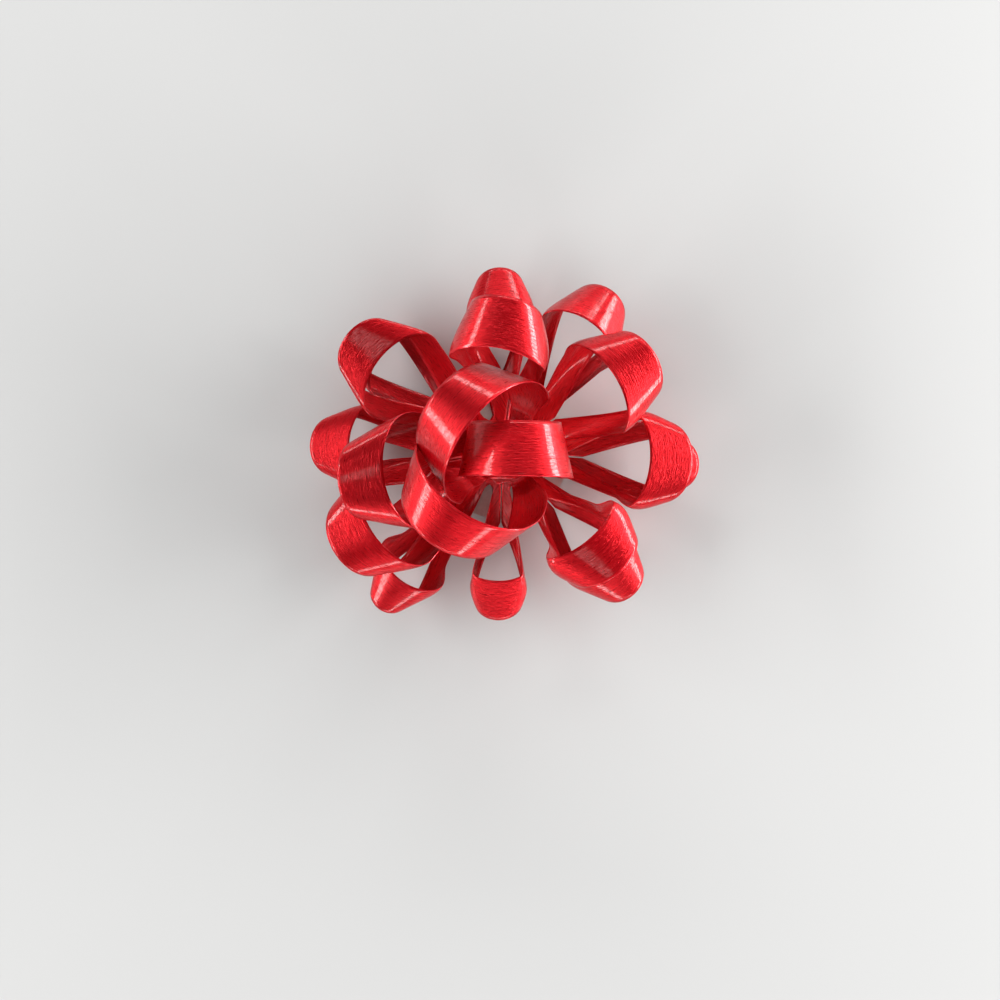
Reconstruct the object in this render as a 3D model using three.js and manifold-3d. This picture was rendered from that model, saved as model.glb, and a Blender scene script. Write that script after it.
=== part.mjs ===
// A pre-made star gift bow: tiers of ribbon loops stapled through a round card, with an adhesive
// foam pad and its peel-off liner. Millimetres, +Z up along the staple, liner's underside at Z = 0.
import * as THREE from "three";
import { mergeVertices } from "three/addons/utils/BufferGeometryUtils.js";
import Module from "manifold-3d";

const wasm = await Module();
wasm.setup();
const { PI, sin, cos, asin, sqrt, abs, min, max, hypot, atan2 } = Math;
const radians = THREE.MathUtils.degToRad;
const smooth = (t) => THREE.MathUtils.smoothstep(t, 0, 1);
const mix = THREE.MathUtils.lerp;

// Ribbon and the stack at the hub
const RIBBON_WIDTH = 10.5;
const RIBBON_THICKNESS = 0.12;
const LAYER_PITCH = 0.2; // every loop takes one layer
const LIFT_OFF = 0.02; // between the card and the first layer
const CROWN_GAP = 0.3; // more room under the standing rings

// Base
const CARD_DIAMETER = 26;
const CARD_THICKNESS = 0.6;
const PAD_SIDE = 17;
const PAD_THICKNESS = 1.2;
const LINER_SIDE = 18;
const LINER_THICKNESS = 0.12;
const TAB_LENGTH = 4; // peel tab, past the liner's edge
const TAB_WIDTH = 9;

// Staple, its legs folded in under the card
const WIRE = 0.5;
const CROWN = 5; // between the legs' centres
const CLINCH = 1.9; // length of a folded leg end
const STAPLE_ANGLE = 115; // clear of every loop's butt line
const STAPLE_ROOM = 0.15; // round a leg, in the ribbon and the card
const LEG_HOLE = WIRE + 2 * STAPLE_ROOM;
const LEG_HOLE_HEIGHT = 20; // through everything

// Shape of a loop, along its own direction from the staple
const HUB_REACH = 3.5; // how far its legs run past the staple
const PINCH = [3.5, 7.5]; // drawn in to its own sector over this radius
const OPEN = [24, 32]; // and let out again
const RISE = [7.5, 14.5]; // leaves the flat of the stack
const SPREAD = [10, 22]; // lets go of the neighbours' direction
const BEND_START = 6; // tips up from here
const BEND_RADIUS = 12;
const ROLL = [8, 24]; // rolls about its own direction

// Shape of a standing ring
const RING_PINCH = [2.5, 5]; // its legs are drawn in over this distance from the staple
const RING_DRAW = 0.6; // by this share of the ribbon's width
const RING_OPEN = [3, 12]; // and let out again over this height
const RING_RISE = 3; // length over which it leaves the flat of the stack

const END_SHARE = 0.997; // of the way round: leaves a gap between a ribbon's two ends
const ALONG = 32; // steps along a ribbon
const ACROSS = 2; // steps across it

const RIBBON = { color: 0xd80c1c, roughness: 0.28, metalness: 0.1 };
const PAPER = { color: 0xf2f2ee, roughness: 0.5, metalness: 0 };
const FOAM = { color: 0xe9e9e4, roughness: 0.9, metalness: 0 };
const CARD = { color: 0xc9c2b4, roughness: 0.85, metalness: 0 };
const STEEL = { color: 0xb8bac0, roughness: 0.3, metalness: 1 };

// The loops, each tier in the order it is laid on the stack. Angles in degrees, from +X.
const OUTER_LOOPS = [
  { azimuth: 91, lift: 0, reach: 35.5, splay: 21, squash: 0.5, sector: 13, roll: 2 },
  { azimuth: 56, lift: 1, reach: 37.5, splay: 22, squash: 0.75, sector: 17, roll: 0 },
  { azimuth: -4, lift: 0, reach: 38, splay: 20, squash: 0.45, sector: 17, roll: 2 },
  { azimuth: -47, lift: 2, reach: 37.5, splay: 21, squash: 0.5, sector: 15, roll: 2 },
  { azimuth: -91, lift: 1, reach: 32.5, splay: 23, squash: 0.47, sector: 12, roll: 4 },
  { azimuth: -128, lift: 1, reach: 38.5, splay: 17, squash: 0.45, sector: 12, roll: 3 },
  { azimuth: 178, lift: 0, reach: 37, splay: 23, squash: 0.35, sector: 17, roll: 0 },
  { azimuth: 141, lift: 1, reach: 37, splay: 19, squash: 0.35, sector: 14, roll: -1 },
];
const MIDDLE_LOOPS = [
  { azimuth: -4, lift: 8, reach: 37.5, splay: 28, squash: 0.4, sector: 18, roll: -1 },
  { azimuth: -149, lift: 8, reach: 38.5, splay: 28, squash: 0.45, sector: 27, roll: 0 },
  { azimuth: 32, lift: 18, reach: 38, splay: 26, squash: 0.65, sector: 22, roll: -2 },
  { azimuth: 142, lift: 10, reach: 38, splay: 25, squash: 0.2, sector: 23, roll: -5 },
];
const UPPER_LOOPS = [
  { azimuth: -171, lift: 27, reach: 37.5, splay: 27, squash: 0.55, sector: 33, roll: -5 },
  { azimuth: -49, lift: 28, reach: 38, splay: 27, squash: 0.5, sector: 14, roll: -5 },
  { azimuth: 82, lift: 32, reach: 38, splay: 25, squash: 0.9, sector: 20, roll: -10 },
];
const CROWN_FRONT = { azimuth: -126, lean: 39, height: 28.5, girth: 13.5, neck: 0.4, taper: 0.25, shift: -1, rise: 6.6 };
const CROWN_BACK = { azimuth: 140, lean: 26, height: 28, girth: 12.5, neck: 0.1, taper: 0.27, shift: -1, rise: 5.8 };
const CENTRE = { azimuth: 89, lean: 1, height: 25, girth: 11, neck: 0.7, taper: 0.23, shift: -4, rise: 5 };

const PAD_BOTTOM = LINER_THICKNESS;
const CARD_BOTTOM = PAD_BOTTOM + PAD_THICKNESS;
const CARD_TOP = CARD_BOTTOM + CARD_THICKNESS;
const FIRST_LAYER = CARD_TOP + LIFT_OFF + RIBBON_THICKNESS / 2;

const over = ([from, to], value) => smooth((value - from) / (to - from));

// A loop is a ribbon wound once round a cone that lies with its apex outward: `splay` is the angle
// at which its legs leave the hub, `reach` how far its outer edge lies from the staple.
function loopPoint({ azimuth, lift, reach, splay, squash, sector, roll }, level, along, across) {
  const turn = radians(90 - splay);
  const cone = asin(turn / PI);
  const half = RIBBON_WIDTH / 2;
  const slant = (reach - half * cos(2 * cone)) / (1 / cos(turn) - cos(2 * cone));
  const apex = slant / cos(turn);
  const theta = mix(-turn, turn, along) * END_SHARE;
  const outer = (slant - half) / cos(theta);
  const inner = min((slant + half) / cos(theta), apex + HUB_REACH);
  const ruling = mix(outer, inner, across);
  const phi = theta / sin(cone);
  let x = apex - ruling * (cos(cone) ** 2 - sin(cone) ** 2 * cos(phi));
  let y = ruling * sin(cone) * sin(phi);
  let z = ruling * sin(cone) * cos(cone) * (1 + cos(phi)) * squash;

  // Near the hub it keeps to its own sector, and lies flat on the stack.
  const radius = hypot(x, y);
  const bearing = atan2(y, x);
  const limit = radians(sector);
  const drawn = bearing / (1 + (abs(bearing) / limit) ** 6) ** (1 / 6);
  const kept = mix(bearing, drawn, over(PINCH, radius) * (1 - over(OPEN, radius)));
  y = radius * sin(kept);
  z *= over(RISE, radius);

  // It tips up along an arc.
  const tip = radians(lift);
  const past = max(radius - BEND_START, 0);
  const arc = min(past / BEND_RADIUS, tip);
  const straight = past - BEND_RADIUS * arc;
  const out = min(radius, BEND_START) + (BEND_RADIUS - z) * sin(arc) + straight * cos(tip);
  z = BEND_RADIUS - (BEND_RADIUS - z) * cos(arc) + straight * sin(tip);
  y *= mix(out / max(radius, 1e-6), 1, over(SPREAD, radius));
  y = min(max(y, -out * 0.999), out * 0.999);
  x = sqrt(out * out - y * y) * (cos(kept) < 0 ? -1 : 1);

  const lean = radians(roll) * over(ROLL, radius);
  [y, z] = [y * cos(lean) - z * sin(lean), y * sin(lean) + z * cos(lean)];
  return placed(azimuth, x, y, z + level);
}

// A ring stands on the hub with its rulings level, leans outward by `lean`, is narrowed towards the
// hub by `neck` and tapers outward by `taper`; `shift` carries its top along its own width, and it
// leaves the flat of the stack from `rise` out.
function ringPoint({ azimuth, lean, height, girth, neck, taper, shift, rise }, level, along, across) {
  const phi = mix(-PI, PI, along) * END_SHARE;
  const outward = across - 0.5;
  const low = ((1 - cos(phi)) / 2) ** 2;
  const tall = (height * (1 + cos(phi)) * (1 - (taper * outward) / 2)) / 2;
  const side = girth * sin(phi) * (1 - neck * low) * (1 - taper * outward);
  const drawn = RING_DRAW * over(RING_PINCH, abs(side)) * (1 - over(RING_OPEN, tall));
  const tip = radians(lean);
  const x = RIBBON_WIDTH * outward * (1 - drawn) + tall * sin(tip);
  let z = tall * cos(tip);
  const y = side + (shift * z) / height;
  if (cos(phi) < 0) z *= over([rise, rise + RING_RISE], hypot(x, y));
  return placed(azimuth, x, y, z + level + CROWN_GAP);
}

function placed(azimuth, x, y, z) {
  const turn = radians(azimuth);
  return new THREE.Vector3(x * cos(turn) - y * sin(turn), x * sin(turn) + y * cos(turn), z);
}

// A ribbon: the surface of `pointAt`, given its thickness as one closed mesh.
function ribbonGeometry(pointAt) {
  const rows = ALONG + 1;
  const columns = ACROSS + 1;
  const middle = [];
  for (let i = 0; i < rows; i++)
    for (let j = 0; j < columns; j++) middle.push(pointAt(i / ALONG, j / ACROSS));
  const at = (i, j) => middle[min(max(i, 0), ALONG) * columns + min(max(j, 0), ACROSS)];
  const positions = [];
  for (const side of [0.5, -0.5])
    for (let i = 0; i < rows; i++)
      for (let j = 0; j < columns; j++) {
        const run = at(i + 1, j).clone().sub(at(i - 1, j));
        const width = at(i, j + 1).clone().sub(at(i, j - 1));
        const normal = run.cross(width).normalize();
        positions.push(...at(i, j).clone().addScaledVector(normal, side * RIBBON_THICKNESS));
      }
  const count = rows * columns;
  const faces = [];
  const quad = (a, b, c, d) => faces.push(a, b, c, a, c, d);
  for (let i = 0; i < ALONG; i++)
    for (let j = 0; j < ACROSS; j++) {
      const a = i * columns + j;
      quad(a, a + columns, a + columns + 1, a + 1);
      quad(count + a, count + a + 1, count + a + columns + 1, count + a + columns);
    }
  for (let i = 0; i < ALONG; i++) {
    const near = i * columns;
    const far = near + ACROSS;
    quad(near, count + near, count + near + columns, near + columns);
    quad(far, far + columns, count + far + columns, count + far);
  }
  for (let j = 0; j < ACROSS; j++) {
    const last = ALONG * columns + j;
    quad(j, j + 1, count + j + 1, count + j);
    quad(last, count + last, count + last + 1, last + 1);
  }
  const geometry = new THREE.BufferGeometry();
  geometry.setAttribute("position", new THREE.Float32BufferAttribute(positions, 3));
  geometry.setIndex(faces);
  return geometry;
}

function solid(geometry) {
  const bare = geometry.clone();
  bare.deleteAttribute("normal");
  bare.deleteAttribute("uv");
  const merged = mergeVertices(bare, 1e-4);
  return new wasm.Manifold(
    new wasm.Mesh({
      numProp: 3,
      vertProperties: merged.attributes.position.array,
      triVerts: new Uint32Array(merged.index.array),
    }),
  );
}

function geometryOf(manifold) {
  const { vertProperties, triVerts } = manifold.getMesh();
  const geometry = new THREE.BufferGeometry();
  geometry.setAttribute("position", new THREE.Float32BufferAttribute(vertProperties, 3));
  geometry.setIndex(Array.from(triVerts));
  return geometry;
}

const cut = (geometry, ...tools) =>
  geometryOf(tools.reduce((left, tool) => left.subtract(solid(tool)), solid(geometry)));

function boxAt(width, depth, height, x, y, z) {
  return new THREE.BoxGeometry(width, depth, height).translate(x, y, z);
}

function roundedSlab(side, radius, thickness, bottom) {
  const h = side / 2;
  const outline = new THREE.Shape();
  outline.absarc(h - radius, h - radius, radius, 0, PI / 2);
  outline.absarc(radius - h, h - radius, radius, PI / 2, PI);
  outline.absarc(radius - h, radius - h, radius, PI, 1.5 * PI);
  outline.absarc(h - radius, radius - h, radius, 1.5 * PI, 2 * PI);
  return extruded(outline, thickness).translate(0, 0, bottom);
}

function extruded(outline, depth) {
  return new THREE.ExtrudeGeometry(outline, { depth, bevelEnabled: false, curveSegments: 4 });
}

const group = new THREE.Group();
function add(name, geometry, look) {
  const mesh = new THREE.Mesh(geometry, new THREE.MeshStandardMaterial(look));
  mesh.name = name;
  group.add(mesh);
}

// Base, from the bottom up
const liner = new THREE.Shape();
{
  const h = LINER_SIDE / 2;
  const t = TAB_WIDTH / 2;
  liner.moveTo(-h, -h);
  liner.lineTo(h, -h);
  liner.lineTo(h, -t);
  liner.absarc(h + TAB_LENGTH - t / 2, -t / 2, t / 2, -PI / 2, 0);
  liner.absarc(h + TAB_LENGTH - t / 2, t / 2, t / 2, 0, PI / 2);
  liner.lineTo(h, t);
  liner.lineTo(h, h);
  liner.lineTo(-h, h);
}
add("release_liner", extruded(liner, LINER_THICKNESS), PAPER);

const clinchRoom = boxAt(
  CROWN + WIRE + 4 * STAPLE_ROOM, WIRE + 4 * STAPLE_ROOM, 2 * (WIRE + STAPLE_ROOM), 0, 0, CARD_BOTTOM,
).rotateZ(radians(STAPLE_ANGLE));
const pad = roundedSlab(PAD_SIDE, 1.5, PAD_THICKNESS, PAD_BOTTOM);
add("adhesive_foam_pad", cut(pad, clinchRoom), FOAM);

const legHoles = [-1, 1].map((side) =>
  boxAt(LEG_HOLE, LEG_HOLE, LEG_HOLE_HEIGHT, (side * CROWN) / 2, 0, CARD_BOTTOM)
    .rotateZ(radians(STAPLE_ANGLE)),
);
const card = new THREE.CylinderGeometry(CARD_DIAMETER / 2, CARD_DIAMETER / 2, CARD_THICKNESS, 48)
  .rotateX(PI / 2)
  .translate(0, 0, CARD_BOTTOM + CARD_THICKNESS / 2);
add("base_card", cut(card, ...legHoles), CARD);

// Ribbon loops, from the bottom of the stack up
const loops = [
  ...OUTER_LOOPS.map((loop, i) => ["outer_loop_" + (i + 1), loopPoint, loop]),
  ...MIDDLE_LOOPS.map((loop, i) => ["middle_loop_" + (i + 1), loopPoint, loop]),
  ...UPPER_LOOPS.map((loop, i) => ["upper_loop_" + (i + 1), loopPoint, loop]),
  ["crown_loop_front", ringPoint, CROWN_FRONT],
  ["crown_loop_back", ringPoint, CROWN_BACK],
  ["centre_loop", ringPoint, CENTRE],
];
loops.forEach(([name, shape, loop], layer) => {
  const level = FIRST_LAYER + layer * LAYER_PITCH;
  const ribbon = ribbonGeometry((along, across) => shape(loop, level, along, across));
  add(name, cut(ribbon, ...legHoles), RIBBON);
});

// Staple
const stackTop = FIRST_LAYER + (loops.length - 1) * LAYER_PITCH + CROWN_GAP + RIBBON_THICKNESS / 2;
const staple = new THREE.Shape();
{
  const top = stackTop + LIFT_OFF + WIRE;
  const out = (CROWN + WIRE) / 2;
  const low = CARD_BOTTOM - LIFT_OFF - WIRE;
  staple.moveTo(-out, low + WIRE);
  staple.lineTo(-out, top - WIRE);
  staple.absarc(WIRE - out, top - WIRE, WIRE, PI, PI / 2, true);
  staple.absarc(out - WIRE, top - WIRE, WIRE, PI / 2, 0, true);
  staple.absarc(out - WIRE, low + WIRE, WIRE, 0, -PI / 2, true);
  staple.lineTo(out - CLINCH - WIRE, low);
  staple.lineTo(out - CLINCH - WIRE, low + WIRE);
  staple.lineTo(out - WIRE, low + WIRE);
  staple.lineTo(out - WIRE, top - WIRE);
  staple.lineTo(WIRE - out, top - WIRE);
  staple.lineTo(WIRE - out, low + WIRE);
  staple.lineTo(CLINCH + WIRE - out, low + WIRE);
  staple.lineTo(CLINCH + WIRE - out, low);
  staple.lineTo(WIRE - out, low);
  staple.absarc(WIRE - out, low + WIRE, WIRE, -PI / 2, -PI, true);
}
const wire = extruded(staple, WIRE)
  .translate(0, 0, -WIRE / 2)
  .rotateX(PI / 2)
  .rotateZ(radians(STAPLE_ANGLE));
add("staple", wire, STEEL);

export default group;
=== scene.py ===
"""A pre-made star gift bow: eighteen loops of red satin ribbon, stapled in tiers over a round card,
with a foam pad and its peel-off liner. Metres, +Z up along the staple."""
import math

import bmesh
import bpy
import numpy as np
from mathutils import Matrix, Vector


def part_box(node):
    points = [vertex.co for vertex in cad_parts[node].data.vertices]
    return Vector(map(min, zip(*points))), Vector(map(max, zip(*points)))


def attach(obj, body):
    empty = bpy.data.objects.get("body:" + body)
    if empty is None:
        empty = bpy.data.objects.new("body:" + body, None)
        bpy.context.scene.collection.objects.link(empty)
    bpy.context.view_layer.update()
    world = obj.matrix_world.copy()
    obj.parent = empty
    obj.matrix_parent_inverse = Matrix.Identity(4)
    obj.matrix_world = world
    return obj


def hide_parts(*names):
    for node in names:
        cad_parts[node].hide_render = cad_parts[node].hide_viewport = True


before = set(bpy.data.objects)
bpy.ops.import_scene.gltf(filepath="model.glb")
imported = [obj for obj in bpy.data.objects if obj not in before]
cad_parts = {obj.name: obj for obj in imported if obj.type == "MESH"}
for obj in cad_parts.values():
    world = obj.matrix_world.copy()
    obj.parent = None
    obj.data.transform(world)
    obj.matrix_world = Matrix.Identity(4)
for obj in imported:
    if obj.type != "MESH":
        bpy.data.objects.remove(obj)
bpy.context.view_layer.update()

# ---------------------------------------------------------------- camera

CAMERA_HEIGHT = 0.8
VIEW_WIDTH = 0.194  # of the frame, at the liner
VIEW_CENTRE = (-0.0004, -0.0093)
SENSOR = 36.0

camera_data = bpy.data.cameras.new("camera")
camera_data.sensor_width = SENSOR
camera_data.lens = SENSOR * CAMERA_HEIGHT / VIEW_WIDTH
camera = bpy.data.objects.new("camera", camera_data)
camera.location = (*VIEW_CENTRE, CAMERA_HEIGHT)
bpy.context.scene.collection.objects.link(camera)
bpy.context.scene.camera = camera
bpy.context.scene.view_settings.view_transform = "Standard"

# ---------------------------------------------------------------- shader writing


class Value:
    """A socket's value, so that shader maths reads as ordinary expressions."""

    def __init__(self, shader, socket):
        self.shader, self.socket = shader, socket

    def maths(self, operation, first, second=None, clamp=False):
        inputs = {0: first} if second is None else {0: first, 1: second}
        settings = {"operation": operation, "use_clamp": clamp}
        return self.shader.node("ShaderNodeMath", settings, inputs)

    def __add__(self, other):
        return self.maths("ADD", self, other)

    def __sub__(self, other):
        return self.maths("SUBTRACT", self, other)

    def __mul__(self, other):
        return self.maths("MULTIPLY", self, other)

    def __pow__(self, other):
        return self.maths("POWER", self, other)

    def __rsub__(self, other):
        return self.maths("SUBTRACT", other, self)

    __radd__, __rmul__ = __add__, __mul__

    def clamped(self):
        return self.maths("ADD", self, 0.0, clamp=True)

    def absolute(self):
        return self.maths("ABSOLUTE", self)


class Shader:
    """One material, and the methods that add nodes to it."""

    def __init__(self, name):
        self.material = bpy.data.materials.new(name)
        self.material.use_nodes = True
        self.tree = self.material.node_tree
        self.tree.nodes.clear()

    def node(self, kind, settings=None, inputs=None, output=0):
        node = self.tree.nodes.new(kind)
        for key, value in (settings or {}).items():
            setattr(node, key, value)
        for key, value in (inputs or {}).items():
            if isinstance(value, Value):
                self.tree.links.new(value.socket, node.inputs[key])
            else:
                node.inputs[key].default_value = value
        return Value(self, node.outputs[output]) if node.outputs else None

    def noise(self, where, scale, detail=2.0, roughness=0.5, distortion=0.0):
        sizes = {"Scale": scale, "Detail": detail, "Roughness": roughness, "Distortion": distortion}
        return self.node("ShaderNodeTexNoise", None, {"Vector": where, **sizes})

    def mix(self, share, first, second):
        inputs = {0: share}
        for index, colour in ((6, first), (7, second)):
            inputs[index] = colour if isinstance(colour, Value) else (*colour, 1)
        return self.node("ShaderNodeMix", {"data_type": "RGBA"}, inputs, output=2)

    def vector(self, x, y, z):
        return self.node("ShaderNodeCombineXYZ", None, {"X": x, "Y": y, "Z": z})

    def parts(self, source):
        first = self.node("ShaderNodeSeparateXYZ", None, {0: source})
        return [Value(self, socket) for socket in first.socket.node.outputs]

    def place(self):
        """Object coordinates, in metres."""
        return self.node("ShaderNodeTexCoord", output=3)

    def bump(self, height, distance, strength=1.0):
        inputs = {"Height": height, "Distance": distance, "Strength": strength}
        return self.node("ShaderNodeBump", None, inputs)

    def finish(self, inputs):
        surface = self.node("ShaderNodeBsdfPrincipled", None, inputs)
        self.node("ShaderNodeOutputMaterial", None, {"Surface": surface})
        return self.material


# ---------------------------------------------------------------- finishes

DEEP_RED = (0.28, 0.0002, 0.003)
BRIGHT_RED = (0.84, 0.0008, 0.009)
# Pale pink for painted highlight and painted sheen, not a colour of the ribbon itself
PAINTED_SHEEN_RED = (0.95, 0.060, 0.100)

# How many over one width of the ribbon, across it and along it
FIBRES_ACROSS, FIBRES_ALONG = 56.0, 1.8
CRINKLES_ACROSS, CRINKLES_ALONG = 34.0, 7.0
BANDS_ACROSS, BANDS_ALONG = 0.8, 0.35
WANDERS_ACROSS, WANDERS_ALONG = 2.5, 0.7
WANDER_WIDTH = 0.05
EDGE_HIGHLIGHT_SHARPNESS = 60.0  # of the painted highlight line along the ribbon's edges
GRAIN_DEPTH = 0.00020


def satin_ribbon(name, seed):
    """Drawn satin film: fine wavy fibres run along the ribbon, so its highlights lie across it."""
    shader = Shader(name)
    along, across, _ = shader.parts(shader.node("ShaderNodeUVMap", {"uv_map": "ribbon"}))
    wander = shader.noise(
        shader.vector(along * WANDERS_ALONG, across * WANDERS_ACROSS, seed), 1.0) - 0.5
    track = across + wander * WANDER_WIDTH
    fibre = shader.noise(
        shader.vector(along * FIBRES_ALONG, track * FIBRES_ACROSS, seed), 1.0, 3.0, 0.6)
    crinkle = shader.noise(
        shader.vector(along * CRINKLES_ALONG, track * CRINKLES_ACROSS, seed + 5.0),
        1.0, 3.0, 0.65, 0.5)
    broad = shader.noise(
        shader.vector(along * BANDS_ALONG, across * BANDS_ACROSS, seed + 9.0), 1.0, 1.0)
    # Painted highlight: a thin pale line along both edges of the ribbon
    edge = ((across - 0.5).absolute() * 2.0) ** EDGE_HIGHLIGHT_SHARPNESS
    tone = (fibre * 0.9 + crinkle * 0.8 + broad * 0.5 - 0.6).clamped()
    body = shader.mix(tone, DEEP_RED, BRIGHT_RED)
    # Painted edge highlight and painted sheen on the raised crinkles, mixed towards pale red
    colour = shader.mix((edge * 0.25 + (crinkle - 0.56) * 0.8).clamped(), body, PAINTED_SHEEN_RED)
    # Its pigment tints most of what it reflects, as a metal would.
    return shader.finish({
        "Base Color": colour,
        "Metallic": 0.6,
        "Roughness": 0.16 + fibre * 0.12 + crinkle * 0.16,
        "Normal": shader.bump(fibre * 0.5 + crinkle * 0.5, GRAIN_DEPTH),
        "IOR": 1.5,
        "Specular IOR Level": 0.35,
        "Coat Weight": (crinkle * 2.6 + fibre - 1.35).clamped(),
        "Coat Roughness": 0.13,
    })


def grey_board():
    shader = Shader("grey board")
    place = shader.place()
    pulp = shader.noise(place, 900.0, 4.0, 0.6)
    fleck = shader.noise(place, 2600.0, 2.0)
    tone = (pulp * 0.8 + fleck * 0.4 - 0.1).clamped()
    return shader.finish({
        "Base Color": shader.mix(tone, (0.50, 0.47, 0.42), (0.74, 0.72, 0.67)),
        "Roughness": 0.75 + pulp * 0.2,
        "Normal": shader.bump(pulp * 0.6 + fleck * 0.4, 0.00006, 0.5),
    })


def foam():
    shader = Shader("white foam")
    place = shader.place()
    cells = shader.node("ShaderNodeTexVoronoi", {"feature": "DISTANCE_TO_EDGE"},
                        {"Vector": place, "Scale": 2200.0})
    walls = (cells * 5.0).clamped()
    shade = shader.noise(place, 300.0, 2.0)
    return shader.finish({
        "Base Color": shader.mix(
            (walls * 0.6 + shade * 0.4).clamped(), (0.62, 0.61, 0.57), (0.88, 0.88, 0.85)),
        "Roughness": 0.7 + shade * 0.2,
        "Normal": shader.bump(walls, 0.00012, 0.6),
    })


def release_paper():
    shader = Shader("release paper")
    place = shader.place()
    fibre = shader.noise(place, 1500.0, 4.0, 0.6)
    cockle = shader.noise(place, 160.0, 1.0)
    return shader.finish({
        "Base Color": shader.mix(
            (fibre * 0.7 + cockle * 0.3).clamped(), (0.80, 0.79, 0.75), (0.93, 0.93, 0.90)),
        "Roughness": 0.30 + fibre * 0.15,
        "Normal": shader.bump(fibre * 0.4 + cockle * 0.6, 0.00005, 0.4),
        "Coat Weight": 0.3,
        "Coat Roughness": 0.25,
    })


def staple_wire():
    shader = Shader("galvanised wire")
    place = shader.place()
    x, y, z = shader.parts(place)
    drawn = shader.noise(shader.vector(x * 400.0, y * 400.0, z * 4000.0), 1.0, 3.0)
    spangle = shader.noise(place, 1800.0, 2.0)
    return shader.finish({
        "Base Color": shader.mix(
            (spangle * 0.7 + drawn * 0.3).clamped(), (0.42, 0.43, 0.45), (0.72, 0.73, 0.75)),
        "Metallic": 1.0,
        "Roughness": 0.22 + drawn * 0.2,
        "Normal": shader.bump(drawn, 0.00002, 0.4),
    })


# ---------------------------------------------------------------- the loops' shapes, in millimetres

MILLIMETRES = 1000  # in a metre
RIBBON_WIDTH = 10.5
FIRST_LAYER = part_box("base_card")[1][2] * MILLIMETRES + 0.08
LAYER_PITCH = 0.2  # every loop takes one layer
CROWN_GAP = 0.3  # under the three rings
END_SHARE = 0.997  # leaves a gap between a loop's two ends

# Loops: pairs are distances from the staple, between which each change comes in
HUB_REACH = 3.5
PINCH = (3.5, 7.5)
OPEN = (24, 32)
RISE = (7.5, 14.5)
SPREAD = (10, 22)
ROLL = (8, 24)
SECTOR_SHARPNESS = 6
BEND_START = 6
BEND_RADIUS = 12
MOST_SIDEWAYS = 0.999  # share of a point's distance from the staple
TINY = 1e-6

# Rings: how they are drawn in near the hub
RING_DRAW = 0.6
RING_PINCH = (2.5, 5)
RING_OPEN = (3, 12)
RING_RISE = 3

LOOP_TERMS = ("azimuth", "lift", "reach", "splay", "squash", "sector", "roll")
RING_TERMS = ("azimuth", "lean", "height", "girth", "neck", "taper", "shift", "rise")

# The loops, from the bottom of the stack up: angles in degrees, sizes in millimetres
LOOPS = (
    ("outer_loop_1", 91, 0, 35.5, 21, 0.5, 13, 2),
    ("outer_loop_2", 56, 1, 37.5, 22, 0.75, 17, 0),
    ("outer_loop_3", -4, 0, 38, 20, 0.45, 17, 2),
    ("outer_loop_4", -47, 2, 37.5, 21, 0.5, 15, 2),
    ("outer_loop_5", -91, 1, 32.5, 23, 0.47, 12, 4),
    ("outer_loop_6", -128, 1, 38.5, 17, 0.45, 12, 3),
    ("outer_loop_7", 178, 0, 37, 23, 0.35, 17, 0),
    ("outer_loop_8", 141, 1, 37, 19, 0.35, 14, -1),
    ("middle_loop_1", -4, 8, 37.5, 28, 0.4, 18, -1),
    ("middle_loop_2", -149, 8, 38.5, 28, 0.45, 27, 0),
    ("middle_loop_3", 32, 18, 38, 26, 0.65, 22, -2),
    ("middle_loop_4", 142, 10, 38, 25, 0.2, 23, -5),
    ("upper_loop_1", -171, 27, 37.5, 27, 0.55, 33, -5),
    ("upper_loop_2", -49, 28, 38, 27, 0.5, 14, -5),
    ("upper_loop_3", 82, 32, 38, 25, 0.9, 20, -10),
)
RINGS = (
    ("crown_loop_front", -126, 39, 28.5, 13.5, 0.4, 0.25, -1, 6.6),
    ("crown_loop_back", 140, 26, 28, 12.5, 0.1, 0.27, -1, 5.8),
    ("centre_loop", 89, 1, 25, 11, 0.7, 0.23, -4, 5),
)


def smooth(share):
    share = np.clip(share, 0, 1)
    return share * share * (3 - 2 * share)


def over(span, value):
    """0 below the span, 1 past it, and smooth between."""
    return smooth((value - span[0]) / (span[1] - span[0]))


def mix(first, second, share):
    return first + (second - first) * share


def placed(azimuth, x, y, z):
    turn = math.radians(azimuth)
    return np.stack([x * math.cos(turn) - y * math.sin(turn),
                     x * math.sin(turn) + y * math.cos(turn), z], axis=-1)


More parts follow.
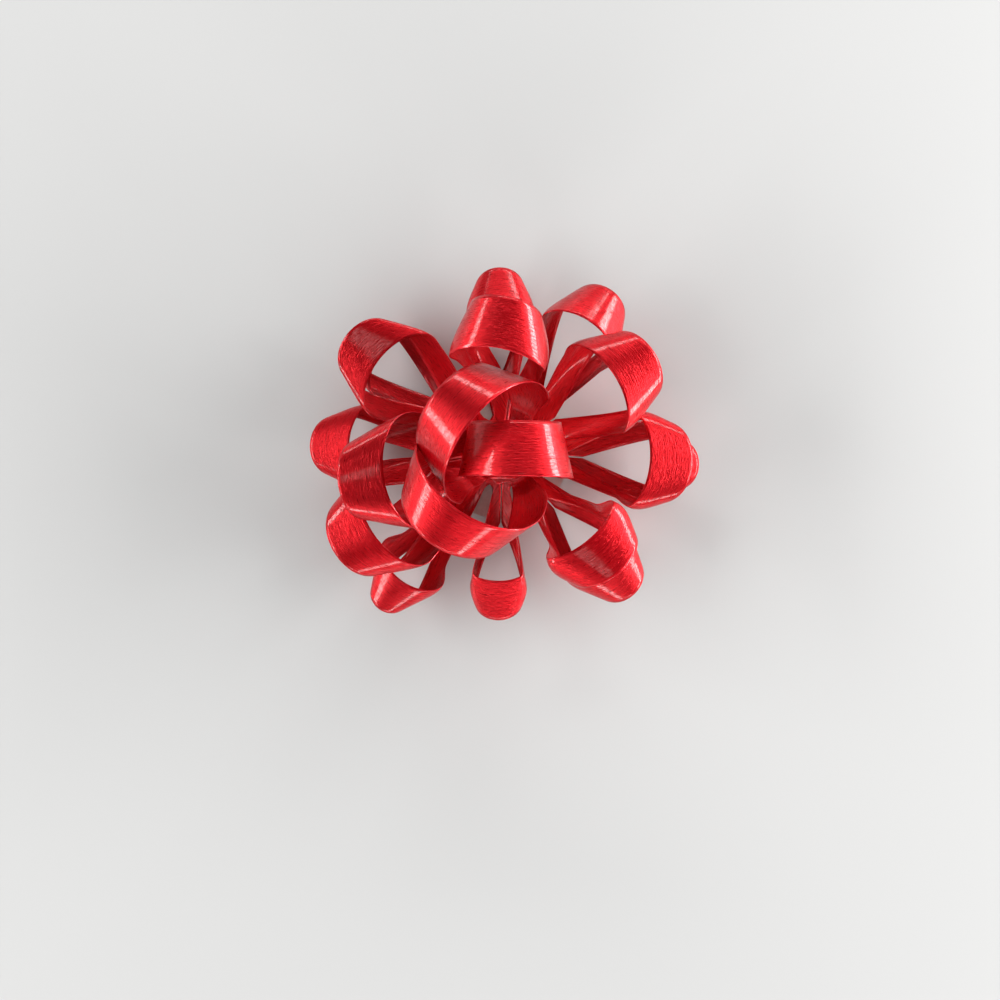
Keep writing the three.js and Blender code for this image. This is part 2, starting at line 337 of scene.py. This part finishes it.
def loop_surface(terms, level, along, across):
    """A ribbon wound once round a cone that lies with its apex outward."""
    turn = math.radians(90 - terms["splay"])
    cone = math.asin(turn / math.pi)
    half = RIBBON_WIDTH / 2
    slant = (terms["reach"] - half * math.cos(2 * cone)) / (1 / math.cos(turn) - math.cos(2 * cone))
    apex = slant / math.cos(turn)
    theta = mix(-turn, turn, along) * END_SHARE
    outer = (slant - half) / np.cos(theta)
    inner = np.minimum((slant + half) / np.cos(theta), apex + HUB_REACH)
    ruling = mix(outer, inner, across)
    phi = theta / math.sin(cone)
    x = apex - ruling * (math.cos(cone) ** 2 - math.sin(cone) ** 2 * np.cos(phi))
    y = ruling * math.sin(cone) * np.sin(phi)
    z = ruling * math.sin(cone) * math.cos(cone) * (1 + np.cos(phi)) * terms["squash"]

    # Near the hub it keeps to its own sector, and lies flat on the stack.
    radius = np.hypot(x, y)
    bearing = np.arctan2(y, x)
    sectors = np.abs(bearing) / math.radians(terms["sector"])
    drawn = bearing / (1 + sectors ** SECTOR_SHARPNESS) ** (1 / SECTOR_SHARPNESS)
    kept = mix(bearing, drawn, over(PINCH, radius) * (1 - over(OPEN, radius)))
    y = radius * np.sin(kept)
    z = z * over(RISE, radius)

    # It tips up along an arc.
    tip = math.radians(terms["lift"])
    past = np.maximum(radius - BEND_START, 0)
    arc = np.minimum(past / BEND_RADIUS, tip)
    straight = past - BEND_RADIUS * arc
    out = np.minimum(radius, BEND_START)
    out = out + (BEND_RADIUS - z) * np.sin(arc) + straight * math.cos(tip)
    z = BEND_RADIUS - (BEND_RADIUS - z) * np.cos(arc) + straight * math.sin(tip)
    y = y * mix(out / np.maximum(radius, TINY), 1, over(SPREAD, radius))
    y = np.clip(y, -out * MOST_SIDEWAYS, out * MOST_SIDEWAYS)
    x = np.sqrt(out * out - y * y) * np.where(np.cos(kept) < 0, -1, 1)
    lean = math.radians(terms["roll"]) * over(ROLL, radius)
    y, z = y * np.cos(lean) - z * np.sin(lean), y * np.sin(lean) + z * np.cos(lean)
    return placed(terms["azimuth"], x, y, z + level)


def ring_surface(terms, level, along, across):
    """A ring that stands on the hub, leans outward, and is drawn in towards the hub."""
    phi = mix(-math.pi, math.pi, along) * END_SHARE
    outward = across - 0.5
    low = ((1 - np.cos(phi)) / 2) ** 2
    tall = terms["height"] * (1 + np.cos(phi)) * (1 - terms["taper"] * outward / 2) / 2
    side = terms["girth"] * np.sin(phi) * (1 - terms["neck"] * low) * (1 - terms["taper"] * outward)
    drawn = RING_DRAW * over(RING_PINCH, np.abs(side)) * (1 - over(RING_OPEN, tall))
    tip = math.radians(terms["lean"])
    x = RIBBON_WIDTH * outward * (1 - drawn) + tall * math.sin(tip)
    z = tall * math.cos(tip)
    y = side + terms["shift"] * z / terms["height"]
    flat = over((terms["rise"], terms["rise"] + RING_RISE), np.hypot(x, y))
    z = np.where(np.cos(phi) < 0, z * flat, z)
    return placed(terms["azimuth"], x, y, z + level + CROWN_GAP)


# ---------------------------------------------------------------- making the ribbons

RIBBON_THICKNESS = 0.00012
STEPS_ALONG = 200
STEPS_ACROSS = 14
RIPPLE_HEIGHT = 0.00004
RIPPLES_PER_METRE = 130.0
RIPPLE_STRETCH = (1.0, 0.25, 1.0)  # they run across the ribbon
RIPPLE_SEED_STEP = 3.7  # from one loop to the next
GRAIN_SEED_STEP = 13.0
WELD_DISTANCE = 1e-7


def ribbon_sheet(name, points):
    """The ribbon's middle surface and its length. Its UV map says how far along it and across it
    a point is, in ribbon widths."""
    rows, columns = points.shape[:2]
    mesh = bpy.data.meshes.new(name)
    corner = np.arange(rows * columns).reshape(rows, columns)
    faces = np.stack([corner[:-1, :-1], corner[1:, :-1], corner[1:, 1:], corner[:-1, 1:]], -1)
    mesh.from_pydata((points / MILLIMETRES).reshape(-1, 3).tolist(), [],
                     faces.reshape(-1, 4).tolist())
    middle = points[:, columns // 2]
    steps = np.linalg.norm(np.diff(middle, axis=0), axis=1)
    run = np.concatenate([[0], np.cumsum(steps)])
    u = np.repeat(run[:, None] / RIBBON_WIDTH, columns, 1).ravel()
    v = np.repeat(np.linspace(0, 1, columns)[None], rows, 0).ravel()
    layer = mesh.uv_layers.new(name="ribbon")
    loop_vertex = np.empty(len(mesh.loops), dtype=np.int32)
    mesh.loops.foreach_get("vertex_index", loop_vertex)
    layer.data.foreach_set("uv", np.stack([u[loop_vertex], v[loop_vertex]], -1).ravel())
    where = mesh.attributes.new("where", "FLOAT_VECTOR", "POINT")
    widths = np.stack([u, v, 0 * u], -1)
    where.data.foreach_set("vector", (widths * RIBBON_WIDTH / MILLIMETRES).ravel())
    return mesh, run[-1] / MILLIMETRES


def flat_area(points):
    """A sheet's cut area, in square metres. A loop's ends are trimmed where they meet."""
    diagonal = points[1:, 1:] - points[:-1, :-1]
    other = points[1:, :-1] - points[:-1, 1:]
    return float(np.linalg.norm(np.cross(diagonal, other), axis=-1).sum()) / 2 / MILLIMETRES ** 2


def ribbon_body_tree():
    """Ripples a ribbon's middle surface and gives it its thickness, with crisp edges."""
    tree = bpy.data.node_groups.new("ribbon body", "GeometryNodeTree")
    sockets = (
        ("Sheet", "INPUT", "NodeSocketGeometry"), ("Thickness", "INPUT", "NodeSocketFloat"),
        ("Ripple Height", "INPUT", "NodeSocketFloat"),
        ("Ripples per Metre", "INPUT", "NodeSocketFloat"),
        ("Seed", "INPUT", "NodeSocketFloat"), ("Finish", "INPUT", "NodeSocketMaterial"),
        ("Ribbon", "OUTPUT", "NodeSocketGeometry"),
    )
    for name, way, kind in sockets:
        tree.interface.new_socket(name, in_out=way, socket_type=kind)
    given = tree.nodes.new("NodeGroupInput").outputs

    def add(kind, settings=None, inputs=None):
        node = tree.nodes.new(kind)
        for key, value in (settings or {}).items():
            setattr(node, key, value)
        for key, value in (inputs or {}).items():
            if isinstance(value, bpy.types.NodeSocket):
                tree.links.new(value, node.inputs[key])
            else:
                node.inputs[key].default_value = value
        return node.outputs

    def maths(operation, first, second):
        return add("ShaderNodeMath", {"operation": operation}, {0: first, 1: second})[0]

    where = add("GeometryNodeInputNamedAttribute", {"data_type": "FLOAT_VECTOR"},
                {"Name": "where"})[0]
    ripple = add("ShaderNodeTexNoise", {"noise_dimensions": "4D"}, {
        "Vector": add("ShaderNodeVectorMath", {"operation": "MULTIPLY"},
                      {0: where, 1: RIPPLE_STRETCH})[0],
        "Scale": given["Ripples per Metre"], "W": given["Seed"], "Detail": 1.0,
    })[0]
    height = maths("MULTIPLY", maths("SUBTRACT", ripple, 0.5), given["Ripple Height"])
    inward = maths("MULTIPLY", given["Thickness"], -0.5)
    normal = add("GeometryNodeInputNormal")[0]
    offset = add("ShaderNodeVectorMath", {"operation": "SCALE"},
                 {0: normal, "Scale": maths("ADD", height, inward)})[0]
    under = add("GeometryNodeSetPosition", None, {"Geometry": given["Sheet"], "Offset": offset})[0]
    raised = add("GeometryNodeExtrudeMesh", {"mode": "FACES"},
                 {"Mesh": under, "Offset Scale": given["Thickness"], "Individual": False})
    soft = add("GeometryNodeSetShadeSmooth", {"domain": "FACE"}, {
        "Geometry": raised["Mesh"],
        "Selection": maths("SUBTRACT", 1.0, raised["Side"]), "Shade Smooth": True,
    })[0]
    crisp = add("GeometryNodeSetShadeSmooth", {"domain": "FACE"}, {
        "Geometry": soft, "Selection": raised["Side"], "Shade Smooth": False})[0]
    flipped = add("GeometryNodeFlipFaces", None, {"Mesh": under})[0]
    back = add("GeometryNodeSetShadeSmooth", {"domain": "FACE"}, {
        "Geometry": flipped, "Shade Smooth": True})[0]
    join = tree.nodes.new("GeometryNodeJoinGeometry")
    for part in (crisp, back):
        tree.links.new(part, join.inputs[0])
    closed = add("GeometryNodeMergeByDistance", None,
                 {"Geometry": join.outputs[0], "Distance": WELD_DISTANCE})[0]
    whole = add("GeometryNodeRealizeInstances", None, {"Geometry": closed})[0]
    dressed = add("GeometryNodeSetMaterial", None,
                  {"Geometry": whole, "Material": given["Finish"]})[0]
    tree.links.new(dressed, tree.nodes.new("NodeGroupOutput").inputs[0])
    return tree


def made_by(tree, name, mesh, values):
    """`mesh` put through a geometry tree whose named inputs are set, as a plain mesh object."""
    source = bpy.data.objects.new(name + "_source", mesh)
    bpy.context.scene.collection.objects.link(source)
    modifier = source.modifiers.new("shape", "NODES")
    modifier.node_group = tree
    for item in tree.interface.items_tree:
        if item.name in values:
            modifier[item.identifier] = values[item.name]
    bpy.context.view_layer.update()
    evaluated = source.evaluated_get(bpy.context.evaluated_depsgraph_get())
    result = bpy.data.meshes.new_from_object(evaluated)
    result.name = name
    bpy.data.objects.remove(source)
    piece = bpy.data.objects.new(name, result)
    bpy.context.scene.collection.objects.link(piece)
    return piece


along, across = np.meshgrid(
    np.linspace(0, 1, STEPS_ALONG + 1), np.linspace(0, 1, STEPS_ACROSS + 1), indexing="ij")
ribbon_body = ribbon_body_tree()
every_loop = [(row[0], loop_surface, dict(zip(LOOP_TERMS, row[1:]))) for row in LOOPS]
every_loop += [(row[0], ring_surface, dict(zip(RING_TERMS, row[1:]))) for row in RINGS]
for layer, (name, surface, terms) in enumerate(every_loop):
    points = surface(terms, FIRST_LAYER + layer * LAYER_PITCH, along, across)
    sheet, length = ribbon_sheet(name + "_middle", points)
    ribbon = made_by(ribbon_body, name + "_ribbon", sheet, {
        "Thickness": RIBBON_THICKNESS, "Ripple Height": RIPPLE_HEIGHT,
        "Ripples per Metre": RIPPLES_PER_METRE,
        "Seed": layer * RIPPLE_SEED_STEP,
        "Finish": satin_ribbon("satin ribbon " + name.replace("_", " "), layer * GRAIN_SEED_STEP),
    })
    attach(ribbon, name)
    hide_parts(name)
    flat_area(points)

# ---------------------------------------------------------------- base

PAD_CORNER = 0.0015
PAD_BULGE = 0.00018  # of its sides, from top and bottom to half-way up
PAD_BULGE_INSET = 0.8  # share of the bulge that the whole outline is drawn in by
PAD_LEVELS = 9
CORNER_STEPS = 6
LINER_STEPS = 60
LINER_CURL = 0.0006  # of the tab's end
LINER_RIPPLE = 0.00001
LINER_SEED = 71.0
TAB_WIDTH = 0.009
TAB_ROUND = 0.00225
TAB_END = 0.00001  # keeps the last row from closing to a point
LINER_CORNER = 0.0008


def rounded_square(half, corner):
    points = []
    for quarter, (cx, cy) in enumerate(((1, 1), (-1, 1), (-1, -1), (1, -1))):
        for step in range(CORNER_STEPS + 1):
            angle = math.pi / 2 * (quarter + step / CORNER_STEPS)
            points.append((cx * (half - corner) + corner * math.cos(angle),
                           cy * (half - corner) + corner * math.sin(angle)))
    return points


def foam_pad():
    """A square of foam tape whose cut sides bulge a little between its two flat faces."""
    low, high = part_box("adhesive_foam_pad")
    half = (high[0] - low[0]) / 2
    shell = bmesh.new()
    rings = []
    for level in range(PAD_LEVELS):
        share = level / (PAD_LEVELS - 1)
        out = PAD_BULGE * (4 * share * (1 - share) - PAD_BULGE_INSET)
        z = low[2] + (high[2] - low[2]) * share
        outline = rounded_square(half + out, PAD_CORNER)
        rings.append([shell.verts.new((x, y, z)) for x, y in outline])
    count = len(rings[0])
    for under, above in zip(rings, rings[1:]):
        for i in range(count):
            j = (i + 1) % count
            shell.faces.new((under[i], under[j], above[j], above[i])).smooth = True
    shell.faces.new(rings[0][::-1])
    shell.faces.new(rings[-1])
    mesh = bpy.data.meshes.new("foam pad")
    shell.to_mesh(mesh)
    shell.free()
    mesh.materials.append(foam())
    pad = bpy.data.objects.new("foam_pad", mesh)
    bpy.context.scene.collection.objects.link(pad)
    return pad


def liner_points():
    """The liner's middle surface in millimetres: a square with a rounded peel tab that curls up."""
    low, high = (np.array(corner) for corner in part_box("release_liner"))
    edge = -low[0]
    stations = np.concatenate([
        np.linspace(low[0], edge, LINER_STEPS), np.linspace(edge, high[0], LINER_STEPS // 2)])
    rows = []
    for index, x in enumerate(stations):
        if index < LINER_STEPS:
            into = max(LINER_CORNER - min(x - low[0], edge - x), 0)
            half = edge - LINER_CORNER + math.sqrt(max(LINER_CORNER ** 2 - into ** 2, 0))
        else:
            into = max(x - (high[0] - TAB_ROUND), 0)
            half = TAB_WIDTH / 2 - TAB_ROUND
            half += math.sqrt(max(TAB_ROUND ** 2 - into ** 2, TAB_END ** 2))
        lift = LINER_CURL * max((x - edge) / (high[0] - edge), 0) ** 2
        y = np.linspace(-half, half, STEPS_ACROSS + 1)
        rows.append(np.stack([0 * y + x, y, 0 * y + (low[2] + high[2]) / 2 + lift], -1))
    return np.array(rows) * MILLIMETRES


pad = foam_pad()
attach(pad, "base")
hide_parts("adhesive_foam_pad")

liner_low, liner_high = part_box("release_liner")
points = liner_points()
sheet, length = ribbon_sheet("liner_middle", points)
liner = made_by(ribbon_body, "peel_off_liner", sheet, {
    "Thickness": liner_high[2] - liner_low[2], "Ripple Height": LINER_RIPPLE,
    "Ripples per Metre": RIPPLES_PER_METRE, "Seed": LINER_SEED, "Finish": release_paper(),
})
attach(liner, "liner")
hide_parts("release_liner")
flat_area(points)

for node, finish in (("base_card", grey_board()), ("staple", staple_wire())):
    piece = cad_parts[node]
    piece.data.materials.clear()
    piece.data.materials.append(finish)

# ---------------------------------------------------------------- floor and light

FLOOR_SIZE = 3.0
FLOOR_DROP = 0.00002

floor_mesh = bpy.data.meshes.new("floor")
corners = ((-1, -1), (1, -1), (1, 1), (-1, 1))
floor_mesh.from_pydata(
    [(FLOOR_SIZE / 2 * x, FLOOR_SIZE / 2 * y, -FLOOR_DROP) for x, y in corners],
    [], [(0, 1, 2, 3)])
floor = bpy.data.objects.new("floor", floor_mesh)
bpy.context.scene.collection.objects.link(floor)
paint = Shader("pale floor")
floor_mesh.materials.append(paint.finish({"Base Color": (0.56, 0.56, 0.555, 1), "Roughness": 0.9}))

# Name, place, size and watts. The strips lie low round the bow, so that each ribbon's
# highlight runs across it.
LIGHTS = (
    ("right strip", (0.54, 0.04, 0.14), (0.80, 0.17), 8.6),
    ("left strip", (-0.52, -0.04, 0.24), (0.70, 0.12), 4.0),
    ("back strip", (0.04, 0.56, 0.22), (0.70, 0.08), 2.1),
    ("front strip", (0.04, -0.56, 0.20), (0.70, 0.08), 2.2),
    ("top box", (-0.10, 0.0, 0.95), (0.20, 0.20), 0.3),
)
LIT = Vector((0, 0, 0.012))

for name, place, size, watts in LIGHTS:
    light = bpy.data.lights.new(name, "AREA")
    light.shape = "RECTANGLE"
    light.size, light.size_y = size
    light.energy = watts
    lamp = bpy.data.objects.new(name, light)
    lamp.location = place
    lamp.rotation_euler = (LIT - Vector(place)).to_track_quat("-Z", "Y").to_euler()
    bpy.context.scene.collection.objects.link(lamp)

world = bpy.data.worlds.new("studio")
bpy.context.scene.world = world
world.use_nodes = True
background = world.node_tree.nodes["Background"].inputs
background["Color"].default_value = (1, 1, 1, 1)
background["Strength"].default_value = 0.05
